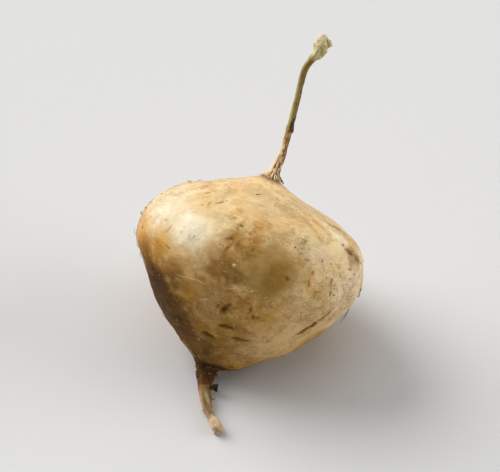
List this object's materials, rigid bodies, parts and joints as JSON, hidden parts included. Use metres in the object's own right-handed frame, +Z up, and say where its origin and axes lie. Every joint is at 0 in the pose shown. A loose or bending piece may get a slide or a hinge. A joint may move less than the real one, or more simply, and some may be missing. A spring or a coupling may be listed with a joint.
{
  "type": "jicama root",
  "caption": "Whole jicama (yam bean) root: a swollen, heart-shaped storage root with thin tan skin, a short taproot tail and a dry stub of vine at its crown.",
  "frame": {"origin": "middle of the small flat spot on the flank that the root rests on", "axes": "+Z up from the surface that it rests on; -Y towards the end of the tail; +X to the side that the crown leans to"},
  "size_m": [0.1008, 0.1292, 0.1239],
  "materials": {
    "root_skin": "dry, thin, papery skin with a low sheen",
    "vine_bark": "dry, matte, finely ridged bark"
  },
  "bodies": {
    "root": {"jicama_root": "root_skin", "vine_stub": "vine_bark"}
  },
  "joints": []
}
